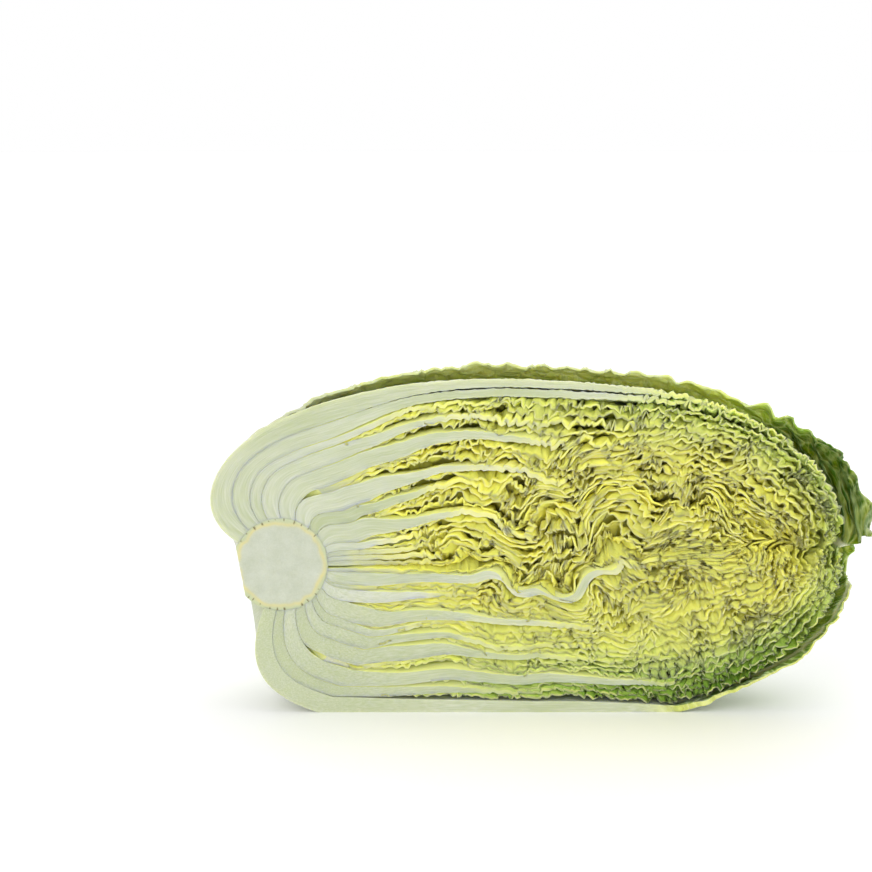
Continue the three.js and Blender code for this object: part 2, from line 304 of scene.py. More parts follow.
def add_blade(made, number, age):
    """A thin blade, which starts somewhere along the leaves, or one with a midrib from the core."""
    name = f"blade_{number:02d}"
    centre = BLADE_CENTRE_LOW if number % 2 else BLADE_CENTRE_UP
    halves = (BLADE_BASE_HALF, BLADE_BLADE_HALF)
    if number == RIBBED_BLADE:
        made.append(Layer(name, len(made), age, centre, halves, RIBBED_THICK))
        return
    start = lerp(BLADE_START_OUTER, BLADE_START_INNER, age)
    start = start + BLADE_START_VARIED * ((number * GOLDEN_PART) % 1)
    made.append(Layer(name, len(made), age, centre, halves, BLADE_THICK, start=start))


def add_heart_leaf(made, number):
    name = f"heart_{number:02d}"
    centre = HEART_CENTRE_LOW if number % 2 else HEART_CENTRE_UP
    halves = (HEART_BASE_HALF, HEART_BLADE_HALF)
    long_rib = number == HEART_RIB
    rib_thick = HEART_RIB_THICK if long_rib else HEART_THICK
    made.append(Layer(name, len(made), 1.0, centre, halves, rib_thick, long_rib=long_rib))


def make_layers():
    """All layers, outermost first: the solids' leaves with thin blades between, then the heart."""
    made = []
    blade_count, owed = 0, 0.0
    for leaf_count, (age, centre) in enumerate(spiral(), start=1):
        add_leaf(made, leaf_count, age, centre)
        if leaf_count < FIRST_BLADES_AFTER:
            continue
        owed += BLADES_A_LEAF
        while owed >= 1:
            owed -= 1
            blade_count += 1
            add_blade(made, blade_count, age)
    for number in range(1, HEART_LEAVES + 1):
        add_heart_leaf(made, number)
    return made


layers = make_layers()


def slots(angle, t, total, upto):
    """Where a layer's outer face lies across the shells, its thickness, and the free space under it."""
    solid = np.zeros_like(total)
    count = np.zeros_like(total)
    parts = []
    for layer in layers:
        off = angle - layer.centre
        present = layer.presence(off, t)
        thick = layer.thickness(off, t)
        solid += present * thick
        count += present * layer.space
        parts.append((present, thick, layer.space))
    room = total - BUD_RADIUS - LEAST_GAP
    filling = np.minimum(MOST_SWELL, (room - LEAST_GAP * count) / solid)
    squeeze = lerp(np.minimum(1, filling), filling, 1 - rising(t, SWELL_UNTIL, SWELL_FADE))
    gap = (room - squeeze * solid) / np.maximum(count, 1)
    outer = total.copy()
    for present, thick, space in parts[:upto]:
        outer -= present * (thick * squeeze + gap * space)
    return outer, parts[upto][1] * squeeze, gap


# How far the two wrappers stand off the head
BOTTOM_MARGIN_FLARE, BOTTOM_TIP_FLARE = 3, 3
BACK_MARGIN_FLARE, BACK_EDGE_FLARE, BACK_TIP_FLARE = 3.5, 2.7, 7.5


def flare(layer, angle, t):
    """Millimetres by which a leaf stands off the head, at its tip and at its margin above."""
    if layer.name == BOTTOM_WRAPPER:
        margin = falling(angle, 120, 25) * rising(t, 0.3, 0.2)
        return BOTTOM_MARGIN_FLARE * margin + BOTTOM_TIP_FLARE * rising(t, 0.66, 0.24)
    if layer.name == BACK_WRAPPER:
        margin = BACK_MARGIN_FLARE * falling(angle, 48, 40) + BACK_EDGE_FLARE * falling(angle, 10, 9)
        tip = BACK_TIP_FLARE * rising(t, 0.72, 0.18)
        return falling(angle, 98, 40) * (margin * rising(t, 0.18, 0.34) + tip)
    return np.zeros_like(t)


# Grids: rows from a leaf's base to its tip, columns from its low to its high angle
WRAPPER_ROW, CUT_ROW, BASE_ROW = 1.5, 1.05, 2.6  # millimetres between rows, the last at the base
ROW_SAMPLES, LEAST_ROWS = 400, 8
HEAD_RADIUS = 76
COLUMN_WIDTH = {BOTTOM_WRAPPER: 1.5, BACK_WRAPPER: 1.4, TOP_LEAF: 2.6}  # of those seen from outside
WIDEST_COLUMN = 7.5
DEPTHS = [0, 0.9, 1.9, 3.0, 4.3, 5.8, 7.6, 9.8, 12.6, 16.5, 22]  # of the other leaves' first columns


def spaced_rows(layer, fine):
    """Values of t that are fine millimetres apart where the blade is frilled, and wider at its base."""
    tip_t = lerp(TIP_T_LEAST, TIP_T_MOST, (layer.number * GOLDEN_PART) % 1)
    t = np.linspace(max(layer.start, 0.0), tip_t, ROW_SAMPLES)
    theta = np.full_like(t, 0.0 if layer.centre < 90 else math.pi)
    points = head_point(np.full_like(t, 1 - 0.95 * layer.age), theta, t)
    step = np.linalg.norm(np.diff(points, axis=0), axis=1)
    density = step / lerp(BASE_ROW, fine, rising(t[1:], 0.1, 0.12))
    total = np.concatenate([[0], np.cumsum(density)])
    count = max(int(total[-1]), LEAST_ROWS)
    return np.interp(np.linspace(0, total[-1], count + 1), total, t)


def spaced_columns(layer):
    """Shares of the way from a leaf's low to its high angle, close together where it was cut."""
    low = max(0.0, layer.centre - layer.blade_half)
    high = min(180.0, layer.centre + layer.blade_half)
    radius = HEAD_RADIUS * (1 - 0.9 * layer.age)
    width = math.radians(high - low) * radius
    if layer.name in COLUMN_WIDTH:
        return np.linspace(0, 1, int(width / COLUMN_WIDTH[layer.name]) + 1)
    places = [0.0, width]
    if low <= 0:
        places += [d for d in DEPTHS if d < 0.5 * width]
    if high >= 180:
        places += [width - d for d in DEPTHS if d < 0.5 * width]
    places = sorted(set(places))
    filled = []
    for a, b in zip(places, places[1:]):
        parts = max(1, round((b - a) / WIDEST_COLUMN))
        filled += [lerp(a, b, i / parts) for i in range(parts)]
    return np.array(filled + [width]) / width


def grid_lengths(points, axis):
    step = np.linalg.norm(np.diff(points, axis=axis), axis=-1)
    zero = np.zeros_like(np.take(step, [0], axis=axis))
    return np.concatenate([zero, np.cumsum(step, axis=axis)], axis=axis)


def normals_of(points):
    return unit(np.cross(np.gradient(points, axis=1), np.gradient(points, axis=0)))


# How leaves are ruffled, folded and curled
FOLDS = ((34, 34, 3.4, 11), (17, 12, 2.2, 12))  # size, size from front to back, depth, seed
CRINKLES = ((8.5, 4.5, 1.7, 13), (4.6, 2.6, 0.75, 14))
WAVE_INNER, WAVE_TIP = 6.0, 4.2
WRAPPER_WAVE = {BOTTOM_WRAPPER: 8.0, BACK_WRAPPER: 13.0}
LARGE_WAVE = 17
FOLD_BACK, FOLD_BACK_OVER = 0.3, 8
LEAN = 3.7  # how far the blades lean as they go back from the cut, which shows their faces
LEAN_DEPTH = 3.0
LEAN_X, LEAN_X_VARIED = 0.45, 0.9
LEAN_Z, LEAN_Z_VARIED = 0.95, 0.42
LEAN_SIZE = (19, 60, 19)
CUT_JITTER = 0.55

# Places in the cut plane where the heart leaves curl round each other: x, z, radius, turn in degrees
CURLS = (
    (146, 88, 24, 75),
    (131, 64, 17, -60),
    (167, 61, 20, 70),
    (188, 92, 24, -65),
    (106, 76, 13, 50),
    (209, 66, 22, 60),
    (166, 113, 19, 55),
    (222, 96, 18, 50),
    (193, 43, 17, 45),
    (118, 103, 13, -40),
)


def fold(points, amount, kinds):
    """Shifts points by smooth random folds, within the cut plane where they lie on it."""
    shift = np.zeros_like(points)
    for size, size_back, depth, seed in kinds:
        scale = np.array([size, size_back, size])
        for axis in range(3):
            shift[..., axis] += depth * noise(points / scale + 50 * axis, seed + 20 * axis)
    shift[..., 1] *= FOLD_BACK * smooth(points[..., 1] / FOLD_BACK_OVER)
    return points + shift * amount[..., None]


def lean_back(points, amount):
    """Shifts points along and up, the more the further they are behind the cut."""
    place = points / np.array(LEAN_SIZE)
    shift_x = LEAN_X + LEAN_X_VARIED * noise(place, 61)
    shift_z = LEAN_Z + LEAN_Z_VARIED * noise(place, 62)
    back = amount * (1 - np.exp(-points[..., 1] / LEAN_DEPTH))
    return points + LEAN * back[..., None] * stack3(shift_x, 0.0, shift_z)


def curl(points, amount):
    for x, z, radius, turn in CURLS:
        flattened = (points - np.array([x, 0, z])) * np.array([1, 0.7, 1])
        away = np.linalg.norm(flattened, axis=-1)
        angle = math.radians(turn) * smooth(1 - away / radius) * amount
        points = turned_about(points, x, z, angle)
    return points


def ruffle(along, deep, seed, size):
    """Waves of a blade, about -1 to 1: in and out, and to and fro along the leaf."""
    place = stack3(along / size, deep / (1.2 * size), 7.3 * seed)
    phase = 2 * math.pi * (along / size + 1.1 * noise(place * 0.5, 3) + 0.3 * noise(place * 1.4, 4))
    strength = 0.5 + 0.5 * noise(place * 0.6, 5)
    out = strength * np.sin(phase) + 0.7 * noise(place * 1.7, 6) + 0.45 * noise(place * 3.6, 8)
    to_fro = -0.5 * strength * np.sin(2 * phase) + 0.7 * noise(place * 1.8, 9)
    return out, to_fro


# The wrappers' midribs, veins and blisters, which show from outside
VEIN_SPACING = 20
VEIN_SLANT, VEIN_CURVE, VEIN_WANDER = 0.95, 0.0024, 6
VEIN_WIDTH_RIB, VEIN_WIDTH_MARGIN, VEIN_NARROWS_OVER = 2.1, 0.75, 75
FORK_FROM, FORK_VARIED, FORK_OVER, FORK_MOST = 14, 8, 34, 0.21
WRAPPER_RIB_BASE, WRAPPER_RIB_MIDDLE, LEAST_WRAPPER_RIB = 42, 22, 1.8  # half widths
BLISTER_HEIGHT, VEIN_HEIGHT = 0.8, 0.9


def main_veins(along, side, rib_half, seed):
    """How far the main veins, which fork on the way to a wrapper's margin, stand out."""
    beyond_rib = np.maximum(np.abs(side) - 0.6 * rib_half, 0)
    wander = VEIN_WANDER * noise(stack3(along / 45, side / 28, seed), 31)
    run = along - VEIN_SLANT * np.abs(side) + VEIN_CURVE * side**2 + wander
    phase = run / VEIN_SPACING + np.where(side > 0, 0.5, 0)
    nearest = np.round(phase)
    random = scatter(stack3(nearest, np.sign(side), 0.0), 35 + seed)
    fork = FORK_MOST * smooth((beyond_rib - FORK_FROM - FORK_VARIED * random) / FORK_OVER)
    width = lerp(VEIN_WIDTH_RIB, VEIN_WIDTH_MARGIN, smooth(beyond_rib / VEIN_NARROWS_OVER))
    away = np.abs(np.abs(phase - nearest) - fork) * VEIN_SPACING * 0.72
    return smooth(1.3 - away / width)


def rib_half_width(along, side, seed):
    """Half the width of a wrapper's white midrib, a little uneven."""
    wide = lerp(WRAPPER_RIB_BASE, WRAPPER_RIB_MIDDLE, rising(along, 20, 150))
    plain = wide * (1 - rising(along, 150, 110)) + LEAST_WRAPPER_RIB
    return plain * (1 + 0.2 * noise(stack3(along / 16, side / 200, seed), 43))


def uneven_margin(rows, seed):
    """Degrees by which a wrapper's margin reaches further or less far."""
    edge = stack3(rows * 300 / 9, 0.0, 1.0 * seed)
    return 1.2 * noise(edge * 0.7, 41)[:, None] + 0.4 * noise(edge * 2.3, 42)[:, None]


class Sheet:
    """A leaf's grid of points: smooth at first, then given its ruffles, folds and thickness."""

    def __init__(self, layer):
        self.layer = layer
        self.is_wrapper = layer.name in WRAPPER_WAVE
        rows = spaced_rows(layer, WRAPPER_ROW if self.is_wrapper else CUT_ROW)
        shares = spaced_columns(layer)
        self.t = np.repeat(rows[:, None], len(shares), axis=1)
        self.half = layer.span_half(self.t)
        if self.is_wrapper:
            self.half = self.half + uneven_margin(rows, layer.number)
        low = np.maximum(0, layer.centre - self.half)
        high = np.minimum(180, layer.centre + self.half)
        self.cut_low = low[:, 0] <= 0
        self.cut_high = high[:, 0] >= 180
        self.angle = lerp(low, high, shares[None, :])
        self.off = self.angle - layer.centre
        self.place_in_head()
        self.find_rib()

    def place_in_head(self):
        across = Across(np.radians(self.angle), self.t)
        outer, thick, self.gap = slots(self.angle, self.t, across.total, self.layer.number)
        self.shell = np.clip(across.shell(outer), 0, 1)
        self.thick = np.minimum(thick, outer - 0.6)
        outer = outer + flare(self.layer, self.angle, self.t)
        self.middle = across.point_at(outer - self.thick / 2)
        self.to_outer = across.point_at(outer) - self.middle
        self.to_inner = across.point_at(outer - self.thick) - self.middle
        self.toward = unit(across.point_at(outer) - across.point_at(outer - 1))
        self.forward = unit(np.gradient(self.middle, axis=0))
        self.along = grid_lengths(self.middle, 0)
        self.deep = grid_lengths(self.middle, 1)
        at_centre = np.abs(self.off).argmin(axis=1)[:, None]
        self.side = self.deep - np.take_along_axis(self.deep, at_centre, 1)

    def find_rib(self):
        """Where the midrib and the base are, which are white and stay smooth."""
        t = self.t
        self.vein = np.zeros_like(t)
        if self.is_wrapper:
            rib_half = rib_half_width(self.along, self.side, self.layer.number)
            self.rib = smooth((rib_half - np.abs(self.side)) / (0.55 * rib_half + 1) + 0.5)
            self.base = 1 - rising(t, 0.06 + 0.22 * falling(self.angle, 50, 40), 0.24)
            self.near_tip = rising(t, 0.62, 0.16)
            self.vein = main_veins(self.along, self.side, rib_half, self.layer.number)
            self.vein *= rising(t, 0.12, 0.1) * (1 - 0.75 * self.near_tip)
        else:
            self.rib = rising(self.thick, 1.2, 1.8) * (1 - 0.8 * rising(t, 0.58, 0.18))
            self.base = 1 - rising(t, 0.13, 0.2)
        self.frilled = rising(t, 0.1, 0.2) * (1 - 0.85 * self.rib)

    def wave(self, height, out, to_fro):
        self.middle = self.middle + self.toward * (height * out)[..., None]
        self.middle = self.middle + self.forward * (0.8 * height * to_fro)[..., None]

    def shape_wrapper(self):
        """Waves, most at the margin and the tip, and raised veins with blisters between."""
        t, number, name = self.t, self.layer.number, self.layer.name
        loose = np.ones_like(t)
        if name == BOTTOM_WRAPPER:
            loose = np.maximum(rising(np.abs(self.off), 22, 30), rising(t, 0.58, 0.1))
        margin = rising(np.abs(self.off) / self.half, 0.72, 0.28)
        height = self.frilled * loose * (0.3 + 1.5 * margin + 1.2 * rising(t, 0.7, 0.25))
        if name == BACK_WRAPPER:
            height = height * lerp(0.6, 1.0, rising(t, 0.66, 0.12))
        small, to_fro = ruffle(self.along, self.deep, number, WRAPPER_WAVE[name])
        large, _ = ruffle(self.along, self.deep, number + 60, LARGE_WAVE)
        self.wave(height, 0.6 * small + 0.7 * large, to_fro)
        blister = noise(stack3(self.along / 6.5, self.side / 5.5, number), 32)
        blister = blister + 0.5 * noise(stack3(self.along / 3, self.side / 3, 1.0), 33)
        raised = BLISTER_HEIGHT * blister * (1 - self.vein) + VEIN_HEIGHT * self.vein
        raised = (1 - self.rib) * loose * rising(t, 0.16, 0.2) * raised
        self.middle = self.middle + self.toward * raised[..., None]

    def shape_inner(self):
        """Waves as high as the space allows, and the folds and curls of the heart."""
        t = self.t
        height = np.minimum(2.4, 0.25 + 0.7 * np.maximum(self.gap, 0.4)) * self.frilled
        size = lerp(WAVE_INNER, WAVE_TIP, rising(t, 0.3, 0.5))
        self.wave(height, *ruffle(self.along, self.deep, self.layer.number, size))
        amount = rising(t, 0.22, 0.3) * (1 - 0.9 * rising(self.shell, 0.72, 0.25)) * (1 - 0.6 * self.rib)
        upward = (1 + np.cos(np.radians(self.angle))) / 2
        leaning = rising(t, 0.12, 0.16) * (1 - rising(self.shell, lerp(0.88, 0.78, upward), 0.14))
        middle = fold(self.middle, amount * (1 - self.rib), CRINKLES)
        middle = curl(middle, np.minimum(1, 1.6 * amount))
        middle = lean_back(middle, leaning)
        self.middle = fold(middle, amount, FOLDS)

    def trim(self):
        """Puts the cut edges close behind the cut plane, and nothing in front of it."""
        number = self.layer.number
        self.middle[..., 1] = np.maximum(self.middle[..., 1], 0.0)
        for column, cut, line, seed in ((0, self.cut_low, 0.0, 21), (-1, self.cut_high, 9.0, 22)):
            uneven = 1 + noise(stack3(self.along[:, column] / 4, number, line), seed)
            behind = CUT_JITTER * uneven * self.frilled[:, column]
            self.middle[cut, column, 1] = behind[cut]

    def thicken(self):
        """The points of the outer and the inner face, and how thick the leaf is between them."""
        normal = normals_of(self.middle)
        normal = np.where((normal * self.toward).sum(-1, keepdims=True) < 0, -normal, normal)
        thick = self.thick
        exact = np.ones_like(self.t)  # where the faces keep the places that the layers give them
        if not self.is_wrapper:
            normal = lerp(normal, self.toward, self.rib[..., None])
            thick = np.minimum(thick, LEAST_BLADE + 2 * (thick - BLADE_THICK).clip(0))
            exact = np.maximum(self.rib, self.base) * (1 - rising(self.t, 0.3, 0.2))
        normal[self.cut_low, 0, 1] = 0
        normal[self.cut_high, -1, 1] = 0
        half_way = unit(normal) * thick[..., None] / 2
        exact = exact[..., None]
        outer = self.middle + lerp(half_way, self.to_outer, exact)
        inner = self.middle + lerp(-half_way, self.to_inner, exact)
        points = np.stack([outer, inner])
        points[..., 1:] = np.maximum(points[..., 1:], 0.0)
        return points, thick

    def shades(self, z):
        """How white, green and skin-like each place is, and its leaf's own tone."""
        t, angle, number = self.t, self.angle, self.layer.number
        white = np.maximum(self.rib, self.base)
        green = 0.55 * rising(self.shell, 0.5, 0.5) * rising(t, 0.25, 0.4)
        green = green + 0.38 * falling(z, 62, 50) * rising(t, 0.2, 0.3)
        if self.is_wrapper:
            # A wrapper's top rim is paler. This is partly its own lime, and partly painted light for the
            # light that glows through the leaf there.
            top_rim_lime_and_painted_light = falling(angle, 40, 30)
            dark_tip = rising(t, 0.7, 0.16) * falling(angle, 100, 40)
            paler_low = rising(angle, 100, 30) * (1 - rising(t, 0.4, 0.3))
            green = 0.8 - 0.38 * top_rim_lime_and_painted_light + 0.6 * dark_tip - 0.1 * paler_low
            # Painted light: the top rim is blended towards white, which lifts the shade on its inner face.
            white = np.maximum(white, 0.45 * top_rim_lime_and_painted_light * (1 - self.near_tip))
        tone = scatter(stack3(number, 0.0, 0.0), 71) + 0.6 * noise(stack3(self.along / 40, 0.0, number), 72)
        skin = rising(self.shell, 0.84, 0.1)
        return {"white": white, "green": green, "vein": self.vein, "skin": skin, "tone": tone}


# Making meshes
core_low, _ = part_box("core")
TO_FRAME = np.array(core_low) / MM - np.array([BUTT_X, 0, AXIS_HEIGHT - CORE_RADIUS])


def add_values(mesh, key, value, kind="POINT"):
    if value.ndim == 2:
        data = mesh.attributes.new(key, "FLOAT_VECTOR", kind).data
        data.foreach_set("vector", value.astype(np.float32).ravel())
    else:
        data = mesh.attributes.new(key, "FLOAT", kind).data
        data.foreach_set("value", value.astype(np.float32))


def show(name, mesh, material):
    mesh.materials.append(material)
    piece = bpy.data.objects.new(name, mesh)
    bpy.context.scene.collection.objects.link(piece)
    return piece


def quad_mesh(name, points, faces, flat):
    """A mesh from points in the head's frame and quads, of which some are shaded flat."""
    mesh = bpy.data.meshes.new(name)
    mesh.vertices.add(len(points))
    mesh.vertices.foreach_set("co", ((points + TO_FRAME) * MM).astype(np.float32).ravel())
    mesh.loops.add(faces.size)
    mesh.loops.foreach_set("vertex_index", faces.astype(np.int32).ravel())
    mesh.polygons.add(len(faces))
    mesh.polygons.foreach_set("loop_start", np.arange(0, faces.size, 4, dtype=np.int32))
    mesh.polygons.foreach_set("use_smooth", ~flat)
    mesh.update(calc_edges=True)
    return mesh


OUTER_SIDE, INNER_SIDE, LOW_SIDE, HIGH_SIDE, BASE_SIDE, TIP_SIDE = range(6)


def slab_faces(rows, columns):
    """Quads of a closed sheet with an outer and an inner grid, and the side that each is on."""
    outer, inner = np.arange(2 * rows * columns).reshape(2, rows, columns)
    groups = []

    def quads(side, *corners):
        quad = np.stack([corner.ravel() for corner in corners], axis=1)
        groups.append((quad, np.full(len(quad), side)))

    quads(OUTER_SIDE, outer[:-1, :-1], outer[1:, :-1], outer[1:, 1:], outer[:-1, 1:])
    quads(INNER_SIDE, inner[:-1, :-1], inner[:-1, 1:], inner[1:, 1:], inner[1:, :-1])
    quads(LOW_SIDE, outer[:-1, 0], inner[:-1, 0], inner[1:, 0], outer[1:, 0])
    quads(HIGH_SIDE, outer[:-1, -1], outer[1:, -1], inner[1:, -1], inner[:-1, -1])
    quads(BASE_SIDE, outer[0, :-1], outer[0, 1:], inner[0, 1:], inner[0, :-1])
    quads(TIP_SIDE, outer[-1, :-1], inner[-1, :-1], inner[-1, 1:], outer[-1, 1:])
    return np.concatenate([g[0] for g in groups]), np.concatenate([g[1] for g in groups])


def slot_of(layer):
    if layer.name in WRAPPER_WAVE:
        return "outer_leaf"
    return "middle_leaf" if layer.age < 0.5 else "heart_leaf"


def make_leaf(layer):
    sheet = Sheet(layer)
    if sheet.is_wrapper:
        sheet.shape_wrapper()
    else:
        sheet.shape_inner()
    sheet.trim()
    points, thick = sheet.thicken()
    faces, sides = slab_faces(*sheet.t.shape)
    mesh = quad_mesh(layer.name, points.reshape(-1, 3), faces, sides >= LOW_SIDE)
    for key, value in sheet.shades(points[0, ..., 2]).items():
        add_values(mesh, key, np.concatenate([value.ravel(), value.ravel()]))
    place = np.stack([stack3(sheet.along, sheet.deep, 0.0), stack3(sheet.along, sheet.deep, thick)])
    add_values(mesh, "place", place.reshape(-1, 3))
    cut = np.zeros(len(faces))
    cut[sides == LOW_SIDE] = sheet.cut_low[:-1] & sheet.cut_low[1:]
    cut[sides == HIGH_SIDE] = sheet.cut_high[:-1] & sheet.cut_high[1:]
    add_values(mesh, "cut", cut, "FACE")
    slot = slot_of(layer)
    piece = show(layer.name, mesh, materials[slot])
    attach(piece, "root")
    if layer.name.startswith("leaf"):
        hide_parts(layer.name)
    if layer.name == "heart_01":
        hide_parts("heart_bud")


# Materials
def rgb(red, green, blue):
    """A colour given as 0 to 255 on a screen."""
    return tuple((c / 255) ** 2.2 for c in (red, green, blue)) + (1.0,)


class Shader:
    """A material's nodes."""

    def __init__(self, name):
        self.material = bpy.data.materials.new(name)
        self.material.use_nodes = True
        self.tree = self.material.node_tree
        self.principled = self.tree.nodes["Principled BSDF"]

    def node(self, kind, **settings):
        made = self.tree.nodes.new(kind)
        for key, value in settings.items():
            setattr(made, key, value)
        return made

    def link(self, value, socket):
        if isinstance(value, bpy.types.NodeSocket):
            self.tree.links.new(value, socket)
        else:
            socket.default_value = value

    def surface(self, **settings):
        for key, value in settings.items():
            self.link(value, self.principled.inputs[key.replace("_", " ")])

    def attribute(self, name, output="Fac"):
        return self.node("ShaderNodeAttribute", attribute_name=name).outputs[output]

    def maths(self, operation, a, b=0.0, clamp=False):
        made = self.node("ShaderNodeMath", operation=operation, use_clamp=clamp)
        self.link(a, made.inputs[0])
        self.link(b, made.inputs[1])
        return made.outputs[0]

    def add(self, a, b, clamp=False):
        return self.maths("ADD", a, b, clamp)

    def times(self, a, b, clamp=False):
        return self.maths("MULTIPLY", a, b, clamp)

    def less(self, a, b, clamp=False):
        return self.maths("SUBTRACT", a, b, clamp)

    def mix(self, share, a, b):
        made = self.node("ShaderNodeMix", data_type="RGBA")
        self.link(share, made.inputs["Factor"])
        self.link(a, made.inputs["A"])
        self.link(b, made.inputs["B"])
        return made.outputs["Result"]

    def scaled(self, vector, scale):
        made = self.node("ShaderNodeMapping")
        self.link(vector, made.inputs["Vector"])
        made.inputs["Scale"].default_value = scale
        return made.outputs["Vector"]

    def noise(self, vector, scale, detail=3.0, rough=0.55):
        made = self.node("ShaderNodeTexNoise")
        self.link(vector, made.inputs["Vector"])
        made.inputs["Scale"].default_value = scale
        made.inputs["Detail"].default_value = detail
        made.inputs["Roughness"].default_value = rough
        return made.outputs["Fac"]

    def net(self, place, size):
        """Distance from the edges of cells about so many millimetres wide."""
        bent = self.node("ShaderNodeVectorMath", operation="MULTIPLY_ADD")
        self.link(self.noise(place, 0.6 / size, 2), bent.inputs[0])
        bent.inputs[1].default_value = (0.9 * size, 0.9 * size, 0)
        self.link(place, bent.inputs[2])
        cells = self.node("ShaderNodeTexVoronoi", feature="DISTANCE_TO_EDGE")
        self.link(self.scaled(bent.outputs[0], (1 / size, 1.15 / size, 0)), cells.inputs["Vector"])
        cells.inputs["Scale"].default_value = 1.0
        return cells.outputs["Distance"]

    def line(self, distance, width, strength):
        """A soft line of that strength where the distance is less than the width."""
        share = self.less(1.0, self.maths("DIVIDE", distance, width), clamp=True)
        return self.times(share, strength)

    def ramp(self, value, stops):
        made = self.node("ShaderNodeValToRGB")
        self.link(value, made.inputs["Fac"])
        elements = made.color_ramp.elements
        while len(elements) < len(stops):
            elements.new(0.5)
        for element, (position, colour) in zip(elements, stops):
            element.position = position
            element.color = colour
        return made.outputs["Color"]

    def bump(self, height, distance, strength=1.0, before=None):
        made = self.node("ShaderNodeBump")
        made.inputs["Distance"].default_value = distance
        made.inputs["Strength"].default_value = strength
        self.link(height, made.inputs["Height"])
        if before is not None:
            self.link(before, made.inputs["Normal"])
        return made.outputs["Normal"]


BLACK, WHITE = (0, 0, 0, 1), (1, 1, 1, 1)
BLADE_COLOURS = (
    (0.0, rgb(250, 240, 100)),
    (0.3, rgb(230, 235, 110)),
    (0.55, rgb(184, 206, 104)),
    (0.8, rgb(122, 154, 60)),
    (1.0, rgb(56, 92, 24)),
)
RIB_COLOUR = rgb(204, 207, 190)
RIB_GREEN = rgb(178, 186, 150)
# Painted shade: a yellow tint for the ribs' faces behind the cut. These faces show only in the narrow gaps
# between ribs, and the tint makes the shade there come out olive.
RIB_SIDE_SHADE_TINT = rgb(214, 218, 120)
# Painted highlight: the pale cream that the blades' cut faces are mixed with, for the light that their thin
# cut edges catch.
CUT_EDGE_HIGHLIGHT = rgb(240, 235, 142)
VEIN_COLOUR = rgb(206, 218, 168)
FLESH_DARK, FLESH_LIGHT = rgb(172, 178, 157), rgb(190, 194, 178)
RING_COLOUR = rgb(204, 194, 122)
DOT_COLOUR = rgb(96, 84, 40)
COARSE_NET, FINE_NET = 8.5, 3.4  # millimetres across the cells of a wrapper's vein net
OUTER_ROUGH, INNER_ROUGH = 0.45, 0.42
OUTER_SOFT, INNER_SOFT = 0.7, 0.9  # how much of the light passes below a leaf's surface


def blade_colour(shader, place):
    """From yellow to dark green, a little patchy."""
    patches = shader.noise(place, 0.09, 3)
    specks = shader.noise(place, 0.7, 2)
    varied = shader.add(shader.attribute("green"), shader.times(shader.less(patches, 0.5), 0.35))
    varied = shader.add(varied, shader.times(shader.less(specks, 0.5), 0.18), clamp=True)
    return shader.ramp(varied, BLADE_COLOURS)


def add_net(shader, place, blade, relief):
    """The fine net of veins, fainter where the leaf is darkest, with domes between."""
    coarse = shader.net(place, COARSE_NET)
    fine = shader.net(place, FINE_NET)
    lines = shader.add(shader.line(coarse, 0.11, 0.62), shader.line(fine, 0.12, 0.3), clamp=True)
    darkest = shader.times(shader.less(shader.attribute("green"), 0.72), 2.5, clamp=True)
    lines = shader.times(lines, shader.less(1.0, shader.times(darkest, 0.6)))
    domes = shader.times(shader.maths("MINIMUM", coarse, 0.3), 5.0)
    raised = shader.add(domes, shader.maths("MINIMUM", fine, 0.25))
    return shader.mix(lines, blade, VEIN_COLOUR), shader.add(relief, raised)


def leaf_material(name, roughness, translucent, gap_shade_tint, netted=False):
    shader = Shader(name)
    place = shader.attribute("place", "Vector")
    white, cut = shader.attribute("white"), shader.attribute("cut")
    blade = blade_colour(shader, place)
    relief = shader.times(shader.noise(place, 1.6, 3), 0.3)
    if netted:
        blade, relief = add_net(shader, place, blade, relief)
    blade = shader.mix(shader.times(shader.attribute("vein"), 0.85), blade, VEIN_COLOUR)
    # Painted highlight: the blades' cut faces are made half way paler, towards the cut-edge colour.
    blade = shader.mix(cut, blade, shader.mix(0.5, blade, CUT_EDGE_HIGHLIGHT))
    streaks = shader.noise(shader.scaled(place, (0.06, 1.0, 1.6)), 1.0, 4, 0.6)
    streaks = shader.add(streaks, shader.times(shader.attribute("tone"), 0.16))
    rib = shader.mix(shader.ramp(streaks, ((0.3, BLACK), (0.75, WHITE))), RIB_GREEN, RIB_COLOUR)
    # Painted shade: away from the head's outer skin, a rib's faces behind the cut take the given side tint,
    # which is yellow for the middle and heart leaves and is seen only in the shaded gaps between ribs.
    yellow = shader.times(shader.less(1.0, shader.attribute("skin")), 0.75)
    rib = shader.mix(cut, shader.mix(yellow, rib, gap_shade_tint), rib)
    on_blade = shader.times(relief, shader.less(1.0, white))
    grooved = shader.bump(streaks, distance=0.0004, strength=0.35)
    shader.surface(
        Base_Color=shader.mix(white, blade, rib),
        Normal=shader.bump(on_blade, distance=0.001, strength=0.8, before=grooved),
        Roughness=roughness,
        Specular_IOR_Level=0.07 if netted else 0.02,
        Subsurface_Weight=translucent,
        Subsurface_Radius=(1.0, 0.9, 0.4),
        Subsurface_Scale=0.003 if netted else 0.005,
    )
    return shader.material


